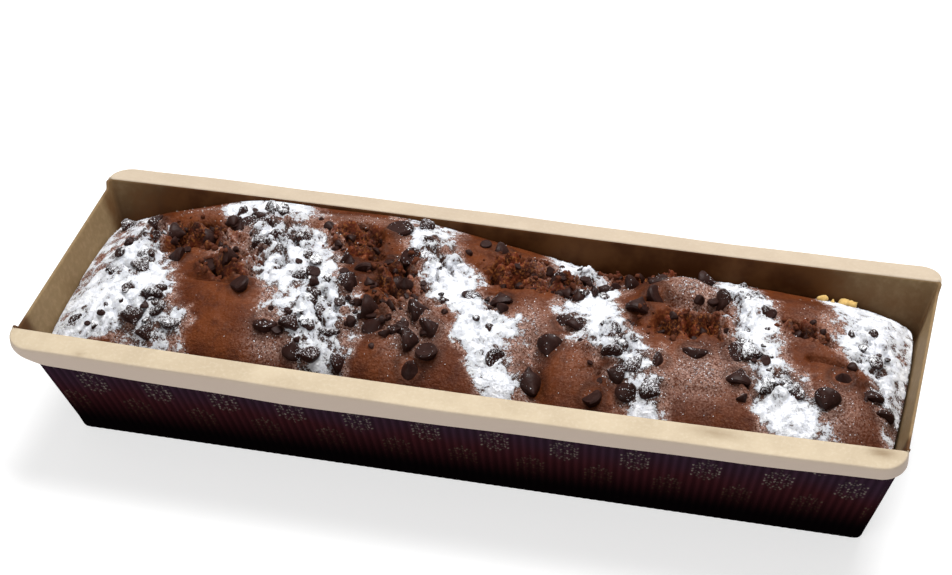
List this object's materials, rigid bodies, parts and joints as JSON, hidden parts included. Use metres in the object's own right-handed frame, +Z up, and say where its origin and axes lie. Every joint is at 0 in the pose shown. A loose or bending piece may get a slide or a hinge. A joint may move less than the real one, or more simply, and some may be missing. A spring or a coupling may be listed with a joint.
{
  "type": "chocolate chip loaf cake in a paper mould",
  "caption": "Long chocolate loaf cake with baked-in chocolate chips and diagonal sugar stripes, in its ribbed paper baking mould with folded rims.",
  "frame": {"origin": "on the surface the mould stands on, below the middle of the whole", "axes": "+X along the loaf, +Z up, the long side seen in the picture faces -Y"},
  "size_m": [0.2312, 0.086, 0.0479],
  "materials": {
    "paper_mould": "matt cream paper board inside and on the rims, dark maroon print on the ribbed outside",
    "cake_crust": "baked chocolate crust, matt, with dark chocolate chips and powdered sugar stripes"
  },
  "bodies": {
    "root": {"tray": "paper_mould", "cake": "cake_crust"}
  },
  "joints": []
}
